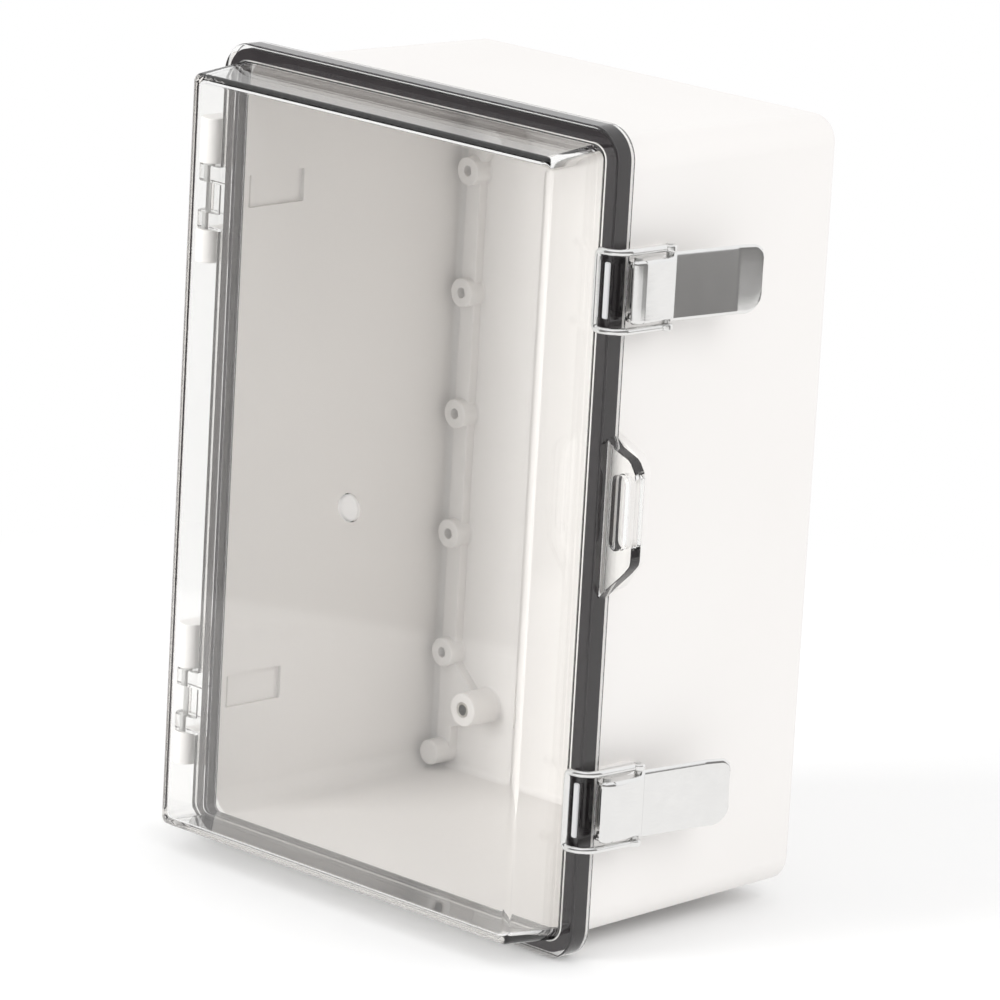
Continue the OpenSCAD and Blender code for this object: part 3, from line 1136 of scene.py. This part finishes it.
    def pads(self) -> list[Surface]:
        """Thicker wall behind each hinge and the flat pad under each latch bracket.

        Returns:
            Points and faces of each.
        """
        lay = self.layout
        parts = []
        left, right = -(lay.width / 2 - self.front_in), lay.width / 2 - 3.5
        for which in ("upper", "lower"):
            pin = Hinge(which).pin
            pad = rounded_rect(27, pin.size[2] + 1, 1.5, 3) + [lay.skirt + 15, pin.middle[2] + 0.5]
            parts.append(rounded_slab(pad, left - 2.4, left + 2, 0.6, "yz"))
            plate = Box.of(f"latch_bracket_{which}")
            pad = rounded_rect(19, 25, 1.5, 3) + [lay.skirt + 12.2, plate.middle[2]]
            parts.append(rounded_slab(pad, right - 6, right, 0.6, "yz"))
        return parts

    def hollows(self) -> list[Surface]:
        """Recesses in the wall behind the hinges and the wall-fixing holes in the back.

        Returns:
            Points and faces of each.
        """
        parts = []
        x = -(self.layout.width / 2 - self.front_in - 1)
        for height in self.recess_heights:
            recess = rounded_rect(*self.recess, 0.6, 2) + [self.layout.skirt + self.recess[0] / 2, height]
            parts.append(slab(recess, x, x + self.wall, "yz"))
        r, deep = self.fixing_hole
        well = np.array([(0, deep), (r, deep), (r, 1), (0, 1)], float)
        for side in (-1, 1):
            for up in (-1, 1):
                at = (side * self.fixing_pitch[0] / 2, 0, up * self.fixing_pitch[1] / 2)
                parts.append(lathe(well, at, 1, 32))
        return parts

    def build(self, finishes: Finishes) -> None:
        """Builds and dresses the base.

        Args:
            finishes: the finishes.
        """
        lay = self.layout
        tub = self.tub()
        ear = PadlockEar(lay.width / 2 - self.front_in - 1, float(Box.of("base_shell").high[0]))
        details = self.inside() + self.knuckles() + self.pads() + [ear.solid(lay, lay.skirt + 0.7, 4)]
        combine(tub, make_piece("pockets", self.hollows()), "DIFFERENCE")
        combine(tub, make_piece("base_details", details), "UNION")
        soften(tub, 0, sharp=32)
        finishes.dress(tub, Slot.BASE)
        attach(tub, "base")
        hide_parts("base_shell")
        log.info("base shell built")


# ---- The cover ----


@dataclass
class ClearCover:
    """Clear domed cover: skirt, gasket channel, raised window, hinge lugs, catch ribs and tab."""

    layout: Layout
    skirt_wall: float = 2.0
    wall: float = 2.5
    root_in: float = 6.5
    face_in: float = 9.0

    def shell(self) -> bpy.types.Object:
        """One profile from the middle of the window's inside, round the skirt, to its outside.

        Returns:
            The object.
        """
        lay = self.layout
        channel_in = lay.seal_in + 4.1
        inner_front = lay.front + self.wall
        corners = [
            (self.face_in + self.wall + 6, inner_front),
            (self.face_in + self.wall, inner_front),
            (self.root_in + self.wall, lay.rim - 0.3),
            (channel_in, lay.rim - 0.3),
            (channel_in, lay.channel),
            (self.skirt_wall, lay.channel),
            (self.skirt_wall, lay.skirt),
            (0, lay.skirt),
            (0, lay.flange),
            (self.root_in, lay.flange),
            (self.face_in, lay.front),
            (self.face_in + 6, lay.front),
        ]
        radii = [0, 1.0, 0.5, 0.5, 0.25, 0.25, 0.4, 0.4, 0.6, 0.9, 2.5, 0]
        profile = fillet(corners, radii, 5)
        return make_piece("cover_clear", [loft(lay.swept(profile, 0.0, 14))])

    def lugs(self) -> list[Surface]:
        """Two lugs and the web of each clear knuckle.

        Returns:
            Points and faces of each.
        """
        parts = []
        edge = 0.8 - self.layout.width / 2
        lug_r, lug = 4.3, 6.5
        for hinge in (Hinge("upper"), Hinge("lower")):
            x, y = hinge.pin.middle[0], hinge.pin.middle[1]
            outline = np.concatenate([arc((x, y), lug_r, 90, 270, 24), [(edge, y - 3.4), (edge, y + 3.4)]])
            for up in (-1, 1):
                at = hinge.middle + up * (hinge.clear - lug) / 2
                parts.append(rounded_slab(outline, at - lug / 2, at + lug / 2, 0.5))
            web = rounded_rect(edge - x - 2, 3.6, 0.5, 3) + [(edge + x + 2) / 2, y + 0.2]
            parts.append(slab(web, hinge.middle - 9, hinge.middle + 9))
        return parts

    def catch_rib(self, which: str) -> Surface:
        """Raised rib that a claw's bar hooks behind.

        Args:
            which: upper or lower.

        Returns:
            Points and faces.
        """
        lever = Box.of(f"latch_lever_{which}")
        outline = rounded_rect(2.3, lever.size[2] - 2, 0.6, 3)
        outline = outline + [self.layout.width / 2 - 1.2, lever.middle[2]]
        return rounded_slab(outline, self.layout.flange - 1.1, self.layout.flange + 0.9, 0.5, "xz")

    def gate_mark(self) -> Surface:
        """Shallow round hollow in the window's inside.

        Returns:
            Points and faces.
        """
        r, deep = 5.3, 0.4
        corners = [(0, -deep), (r - 0.7, -deep), (r, 0), (r + 0.2, 0.6), (0, 0.6)]
        x, z = ClearPlastic.gate
        return lathe(fillet(corners, [0, 0.3, 0.3, 0, 0]), (x, self.layout.front + self.wall, z), 1, 48)

    def build(self, finishes: Finishes) -> None:
        """Builds and dresses the cover.

        Args:
            finishes: the finishes.
        """
        lay = self.layout
        shell = self.shell()
        ear = PadlockEar(lay.width / 2 - 1, float(Box.of("cover").high[0]))
        extra = self.lugs() + [ear.solid(lay, lay.skirt - 5.8, 5)]
        extra += [self.catch_rib(which) for which in ("upper", "lower")]
        combine(shell, make_piece("cover_extra", extra), "UNION")
        combine(shell, make_piece("gate_mark", [self.gate_mark()]), "DIFFERENCE")
        soften(shell, 0, sharp=28)
        finishes.dress(shell, Slot.CLEAR)
        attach(shell, "cover")
        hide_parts("cover")
        log.info("clear cover built")


@dataclass
class Seal:
    """Foamed gasket that fills the cover's channel, with a lip beside the collar of the base."""

    layout: Layout
    skirt_wall: float = 2.0
    collar_in: float = 3.0
    band: float = 4.0
    press: float = 0.02
    lip_short: float = 0.8

    def build(self, finishes: Finishes) -> None:
        """Builds and dresses the gasket.

        Args:
            finishes: the finishes.
        """
        lay = self.layout
        front, rim, back = lay.channel - self.press, lay.rim - self.press, lay.skirt - self.lip_short
        outer, lip, inner = self.skirt_wall - self.press, self.collar_in - 0.05, lay.seal_in + self.band
        middle = (outer + inner) / 2
        corners = [
            (middle, front), (outer, front), (outer, back), (lip, back), (lip, rim), (inner, rim),
            (inner, front), (middle, front),
        ]
        profile = fillet(corners, [0, 0.2, 0.4, 0.2, 0.1, 0.9, 0.3, 0], 5)[:-1]
        ring = make_piece("gasket_ring", [loft(lay.swept(profile, 0.0, 14), closed=True)])
        soften(ring, 0, sharp=40)
        finishes.dress(ring, Slot.GASKET)
        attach(ring, "cover")
        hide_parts("gasket")
        log.info("gasket built")


# ---- Latches and small hardware ----


@dataclass
class Lever:
    """Latch lever: a sheet that rolls round its pivot, humps, steps in and runs to a thumb end."""

    which: str
    sheet: float = 1.2
    roll: float = 3.6
    roll_end: float = -14.0
    flat: float = 1.2
    hump_r: float = 120.0
    hump: tuple[float, float] = (-1.5, 5.5)
    hump_half: float = 10.7
    handle_half: float = 11.9
    length: float = 54.0
    bend_r: float = 1.1
    tip_r: tuple[float, float] = (3.4, 6.2)

    def middle_line(self) -> Array:
        """Middle line seen from above: roll, short flat, shallow hump, step, handle, bent tip.

        A point close on either side of the crease between flat and hump keeps the crease narrow.

        Returns:
            (n, 2) array of X and Y from the pivot.
        """
        first, last = self.hump
        rolled = arc((0, 0), self.roll, -70, self.roll_end, 12)
        turn = math.radians(self.roll_end)
        heading = np.array([-math.sin(turn), math.cos(turn)])
        start = rolled[-1] + self.flat * heading
        a = math.radians(first)
        middle = start - self.hump_r * np.array([math.cos(a), math.sin(a)])
        crease = np.concatenate([[start - 0.06 * heading], arc(middle, self.hump_r, first, first + 0.03, 1)])
        line = np.concatenate([rolled, crease, arc(middle, self.hump_r, first, last, 16)[1:]])
        corners = [line[-1], (1.9, 16.4), (5.6, self.length - 9), (8.6, self.length)]
        rest = fillet(corners, [0, 0.7, 10, 0], 8)
        return np.concatenate([line, rest[1:]])

    def half_width(self, along: Array, r: float) -> Array:
        """Half the width by how far back a point is: the hump's, the handle's, then a round end.

        The end is a quarter circle of radius r: half - r + sqrt(r^2 - (y - start)^2).

        Args:
            along: Y of each point of the middle line.
            r: radius of the end's corner.

        Returns:
            Half the width at each point.
        """
        end = along.max()
        past = np.clip(along - (end - r), 0, r)
        half = np.interp(along, [14.9, 16.2], [self.hump_half, self.handle_half])
        return half - r + np.sqrt(np.maximum(r * r - past * past, 0))

    def skin(self, name: str, at: Array) -> bpy.types.Object:
        """The bent sheet, with both long edges turned down over a small radius.

        Across the sheet a point lies at z = half - r + r sin a and r (1 - cos a) inwards, where a
        goes from 0 at the flat to 75 degrees at the edge.

        Args:
            name: name of the piece.
            at: place of the pivot.

        Returns:
            The object, with its thickness and rounded rims.
        """
        line = resample_open(self.middle_line(), 100)
        ahead = np.gradient(line, axis=0)
        inward = np.stack([-ahead[:, 1], ahead[:, 0]], axis=1)
        inward /= np.linalg.norm(inward, axis=1, keepdims=True)
        a = np.radians([0, 25, 50, 75])
        curl, sink = self.bend_r * np.sin(a), self.bend_r * (1 - np.cos(a))
        top = self.half_width(line[:, 1], self.tip_r[0])[:, None] - self.bend_r
        foot = self.half_width(line[:, 1], self.tip_r[1])[:, None] - self.bend_r
        across = np.hstack([-foot - curl[::-1], -foot / 2, 0 * top, top / 2, top + curl])
        deep = np.concatenate([sink[::-1], [0, 0, 0], sink])
        grid = np.zeros((*across.shape, 3))
        grid[:, :, :2] = line[:, None, :] + inward[:, None, :] * deep[None, :, None]
        grid[:, :, 2] = across
        piece = make_piece(name, [(grid.reshape(-1, 3) + at, grid_faces(*grid.shape[:2], False, False))])
        thick = piece.modifiers.new("thick", "SOLIDIFY")
        thick.thickness = self.sheet * MM
        thick.offset = 0
        settle(piece)
        round_edges(piece, 0.22, 2, 60)
        return piece

    def build(self, finishes: Finishes) -> None:
        """Builds and dresses the lever with its two side walls.

        Args:
            finishes: the finishes.
        """
        box = Box.of(f"latch_lever_{self.which}")
        pin = Box.of(f"lever_pin_{self.which}")
        at = np.array([pin.middle[0], pin.middle[1], box.middle[2]])
        piece = self.skin(f"lever_skin_{self.which}", at)
        outline = np.array(
            [
                (-2.6, 2.4), (-3.4, 0.9), (-3.4, -0.9), (-2.4, -2.5), (-0.6, -3.45), (1.2, -3.3), (2.6, -2.4),
                (3.3, 0), (3.2, 6), (2.9, 13), (2.0, 16), (0.6, 17), (-1.4, 15.4),
            ]
        )[::-1]
        low = self.hump_half - self.sheet - 0.1
        walls = []
        for z in (at[2] - low - self.sheet, at[2] + low):
            walls.append(rounded_slab(outline + at[:2], z, z + self.sheet, 0.25))
        combine(piece, make_piece("walls", walls), "UNION")
        soften(piece, 0, sharp=36)
        finishes.dress(piece, Slot.LATCH)
        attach(piece, f"lever_{self.which}")
        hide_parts(f"latch_lever_{self.which}")
        log.info("%s lever built", self.which)


@dataclass
class Claw:
    """Claw of a latch: a stiff wire from one end of the pin, round the flange and back."""

    which: str
    wire_r: float = 1.3
    bar: tuple[float, float] = (95.4, -122.9)
    bend_x: float = 104.4
    bend_r: float = 7.0
    corner_r: float = 1.9

    def path(self, pin: Array, half: float) -> Array:
        """Middle line of the wire: an arm, a corner, the front bar, and the same mirrored in Z.

        Args:
            pin: X and Y of the claw's pin.
            half: Z of the upper arm.

        Returns:
            (n, 3) array of points.
        """
        start = self.bar[0] + self.corner_r
        arm = fillet([pin, (self.bend_x, self.bar[1]), (start, self.bar[1])], [0, self.bend_r, 0], 10)
        turn = arc((start, half - self.corner_r), self.corner_r, 90, 180, 8)
        upper = np.insert(arm, 2, half, axis=1)
        corner = np.insert(turn, 1, self.bar[1], axis=1)[1:]
        line = np.concatenate([upper, corner])
        return np.concatenate([line, line[::-1] * [1, 1, -1]])

    def build(self, finishes: Finishes) -> None:
        """Builds and dresses the claw with an eye round each end of its pin.

        Args:
            finishes: the finishes.
        """
        box = Box.of(f"latch_claw_{self.which}")
        pin = Box.of(f"claw_pin_{self.which}").middle
        half = box.size[2] / 2 - 0.95
        line = self.path(pin[:2], half) + [0, 0, box.middle[2]]
        piece = make_piece(f"claw_wire_{self.which}", [tube(line, self.wire_r)])
        eye = fillet([(0, -1.2), (2.6, -1.2), (2.6, 1.2), (0, 1.2)], [0, 0.6, 0.6, 0], 4)
        eyes = [lathe(eye, (pin[0], pin[1], box.middle[2] + side * half), 2) for side in (-1, 1)]
        combine(piece, make_piece("eyes", eyes), "UNION")
        soften(piece, 0, sharp=40)
        finishes.dress(piece, Slot.LATCH)
        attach(piece, f"claw_{self.which}")
        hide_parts(f"latch_claw_{self.which}")
        log.info("%s claw built", self.which)


@dataclass
class Hardware:
    """Packed small parts that keep their shape: edges are rounded and a finish put on."""

    node: str
    body: str
    slot: Slot
    round_mm: float = 0.25

    def build(self, finishes: Finishes) -> None:
        """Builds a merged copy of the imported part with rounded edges, and dresses it.

        Args:
            finishes: the finishes.
        """
        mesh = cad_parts[self.node].data.copy()
        piece = bpy.data.objects.new(f"{self.node}_finished", mesh)
        bpy.context.scene.collection.objects.link(piece)
        weld = piece.modifiers.new("weld", "WELD")
        weld.merge_threshold = 0.002 * MM
        flat = piece.modifiers.new("flat_faces", "DECIMATE")
        flat.decimate_type = "DISSOLVE"
        flat.angle_limit = math.radians(0.5)
        settle(piece)
        soften(piece, self.round_mm, 3, 32)
        finishes.dress(piece, self.slot)
        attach(piece, self.body)
        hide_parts(self.node)
        log.info("%s finished", self.node)


def hardware() -> list[Hardware]:
    """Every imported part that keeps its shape.

    Returns:
        The parts, in the order they are built.
    """
    parts = []
    for which in ("upper", "lower"):
        parts += [
            Hardware(f"latch_bracket_{which}", "base", Slot.LATCH, 0.2),
            Hardware(f"latch_rivets_{which}", "base", Slot.PIN, 0.25),
            Hardware(f"lever_pin_{which}", "base", Slot.PIN, 0.3),
            Hardware(f"hinge_pin_{which}", "base", Slot.PIN, 0.3),
            Hardware(f"claw_pin_{which}", f"lever_{which}", Slot.PIN, 0.35),
        ]
    for corner in ("top_left", "top_right", "bottom_left", "bottom_right"):
        parts.append(Hardware(f"plate_insert_{corner}", "base", Slot.INSERT, 0.3))
    return parts


# ---- Studio ----


@dataclass(frozen=True)
class Lamp:
    """Soft square lamp: its place in metres, its side in metres and its power in watts."""

    name: str
    place: tuple[float, float, float]
    size: float
    watts: float

    def hang(self) -> None:
        """Hangs the lamp facing the middle of the box, where gloss doesn't mirror it."""
        data = bpy.data.lights.new(self.name, "AREA")
        data.energy = self.watts
        data.size = self.size
        lamp = bpy.data.objects.new(self.name, data)
        lamp.location = self.place
        lamp.rotation_euler = (-Vector(self.place)).to_track_quat("-Z", "Y").to_euler()
        lamp.visible_glossy = lamp.visible_transmission = False
        bpy.context.scene.collection.objects.link(lamp)


@dataclass
class Studio:
    """Pale floor, soft lamps, grey cards of painted reflection that only gloss sees, and the camera."""

    layout: Layout
    yaw: float = 44.452
    pitch: float = 13.811
    roll: float = 3.209
    distance: float = 2435.6
    aim_right: float = -48.2
    aim_up: float = -17.4
    lens: float = 236.2
    # Painted reflection on the floor for glossy rays: front edge, radius round the box and right-hand end of
    # its bright sheet, in millimetres.
    sheet_edge: float = 514.0
    sheet_r: float = 620.0
    sheet_right: float = 1100.0
    # Grey of the painted reflection: what glossy rays see around the bright sheet and on the grey cards.
    painted_reflection_grey: tuple[float, float, float] = (0.22, 0.215, 0.21)
    flag_x: float = 2.6
    flag_y: float = -3.2
    flag_left: float = -4.0
    flag_heights: tuple[float, float] = (-0.16, 2.2)
    key: Lamp = Lamp("key", (1.5, -0.2, 1.2), 1.0, 7.5)
    front: Lamp = Lamp("front", (-0.9, -2.3, 0.55), 1.3, 52)

    def camera(self) -> None:
        """Places the camera: turned by yaw about Z, pitched down, rolled, then moved back."""
        yaw, pitch, roll = (math.radians(a) for a in (self.yaw, self.pitch, self.roll))
        turned = Matrix.Rotation(yaw, 3, "Z") @ Matrix.Rotation(math.pi / 2 - pitch, 3, "X")
        turned = turned @ Matrix.Rotation(roll, 3, "Z")
        right, up, back = (turned.col[k] for k in range(3))
        place = (right * self.aim_right + up * self.aim_up + back * self.distance) * MM
        data = bpy.data.cameras.new("camera")
        data.lens = self.lens
        data.sensor_width = 36
        data.clip_end = 50
        camera = bpy.data.objects.new("camera", data)
        camera.matrix_world = Matrix.Translation(place) @ turned.to_4x4()
        bpy.context.scene.collection.objects.link(camera)
        bpy.context.scene.camera = camera

    def sheet(self, tree: Tree, where: Any) -> Val:
        """Share of the bright sheet in the painted reflection that glossy rays see on the floor.

        It is 1 within a radius of the box, behind it and to its right, up to a straight front edge,
        and falls to 0 over a few centimetres.

        Args:
            tree: tree that the nodes go into.
            where: socket of the floor's coordinates.

        Returns:
            The share, from 0 to 1.
        """
        split = tree.add("ShaderNodeSeparateXYZ", Vector=where)
        x, y = tree.val(split, "X"), tree.val(split, "Y")
        away = self.away(tree, where)
        soft = 40.0
        along = 0.3615 * x + 0.9324 * y
        behind = ((y - 0.62 * x - 0.01) * soft).clamp()
        wider = ((0.06 - y) * 20.0).clamp() * 0.3
        right = ((0.25 * x - y) * soft).clamp() * ((self.sheet_right * MM + wider - x) * soft).clamp()
        near = (((self.sheet_r * MM - away) * 20.0).clamp() + behind + right).clamp()
        beside = ((x - 0.3) * soft).clamp()
        return (((along + self.sheet_edge * MM) * 60.0).clamp() + beside).clamp() * near

    def away(self, tree: Tree, where: Any) -> Val:
        """Distance from the box's middle, in metres."""
        return tree.val(tree.add("ShaderNodeVectorMath", {"operation": "LENGTH"}, x0=where), "Value")

    def floor(self) -> None:
        """Pale floor whose shadow shows, white to the camera where it runs out; glossy rays see a painted
        reflection on it instead, a bright sheet against grey.
        """
        half = 6.0
        z = -(self.layout.height / 2 + 0.5) * MM
        mesh = bpy.data.meshes.new("floor")
        corners = [(-half, -half, z), (half, -half, z), (half, half, z), (-half, half, z)]
        mesh.from_pydata(corners, [], [(0, 1, 2, 3)])
        floor = bpy.data.objects.new("floor", mesh)
        bpy.context.scene.collection.objects.link(floor)
        material, tree, output = blank_material("floor_white")
        where = tree.add("ShaderNodeTexCoord").outputs["Object"]
        path = tree.add("ShaderNodeLightPath")
        gloss = tree.val(path, "Is Glossy Ray") * (1.0 - tree.val(path, "Is Transmission Ray"))
        plain = tree.add("ShaderNodeBsdfDiffuse", Color=(0.95, 0.95, 0.95, 1))
        glow = tree.add("ShaderNodeEmission", Color=(1, 1, 1, 1))
        # Painted reflection: glossy rays see this emission, the bright sheet against painted grey, in place
        # of the lit floor.
        colour = tree.mix(self.sheet(tree, where), self.painted_reflection_grey, (1.0, 0.99, 0.98))
        mirrored = tree.add("ShaderNodeEmission", Color=colour)
        far = ((self.away(tree, where) - 0.22) * 3.4).clamp()
        seen = tree.add("ShaderNodeMixShader", x0=far, x1=plain.outputs[0], x2=glow.outputs[0])
        both = tree.add("ShaderNodeMixShader", x0=gloss, x1=seen.outputs[0], x2=mirrored.outputs[0])
        tree.plug(output.inputs["Surface"], both.outputs[0])
        mesh.materials.append(material)

    def flag(self, name: str, corners: Sequence[Sequence[float]]) -> None:
        """Grey card of painted reflection that only glossy rays see, standing in for a dim room.

        Args:
            name: name of the wall.
            corners: its four corners, in metres.
        """
        mesh = bpy.data.meshes.new(name)
        mesh.from_pydata([tuple(c) for c in corners], [], [(0, 1, 2, 3)])
        wall = bpy.data.objects.new(name, mesh)
        bpy.context.scene.collection.objects.link(wall)
        wall.visible_camera = wall.visible_diffuse = wall.visible_transmission = False
        wall.visible_shadow = wall.visible_volume_scatter = False
        material, tree, output = blank_material(name)
        # Painted grey emission, seen only in gloss.
        shader = tree.add("ShaderNodeEmission", Color=(*self.painted_reflection_grey, 1))
        tree.plug(output.inputs["Surface"], shader.outputs[0])
        mesh.materials.append(material)

    def world(self) -> None:
        """White surroundings for the camera, gloss and the clear cover, softer light for the rest."""
        world = bpy.data.worlds.new("studio")
        world.use_nodes = True
        world.node_tree.nodes.clear()
        tree = Tree(world.node_tree)
        path = tree.add("ShaderNodeLightPath")
        seen = tree.val(path, "Is Camera Ray") + tree.val(path, "Is Transmission Ray")
        seen = (seen + tree.val(path, "Is Glossy Ray")).clamp()
        light = seen + (1.0 - seen) * 0.9
        shader = tree.add("ShaderNodeBackground", Color=(1, 1, 1, 1), Strength=light)
        output = tree.add("ShaderNodeOutputWorld")
        tree.plug(output.inputs["Surface"], shader.outputs[0])
        bpy.context.scene.world = world

    def build(self) -> None:
        """Builds the studio."""
        self.camera()
        self.floor()
        self.world()
        x, y, left = self.flag_x, self.flag_y, self.flag_left
        low, high = self.flag_heights
        # Two grey cards of painted reflection, seen only by glossy rays, to the right and in front.
        self.flag("painted_reflection_right", [(x, y, low), (x, 0.62 * x, low), (x, 0.62 * x, high), (x, y, high)])
        self.flag("painted_reflection_front", [(left, y, low), (x, y, low), (x, y, high), (left, y, high)])
        self.key.hang()
        self.front.hang()
        bpy.context.scene.view_settings.view_transform = "Standard"
        log.info("studio built")


def main() -> None:
    """Builds every sub-assembly in order and reports it."""
    logging.basicConfig(level=logging.INFO, format="%(name)s: %(message)s")
    layout = Layout()
    studio = Studio(layout)
    studio.build()
    finishes = Finishes()
    BaseShell(layout).build(finishes)
    ClearCover(layout).build(finishes)
    Seal(layout).build(finishes)
    for which in ("upper", "lower"):
        Lever(which).build(finishes)
        Claw(which).build(finishes)
    for part in hardware():
        part.build(finishes)


if __name__ == "__main__":
    main()
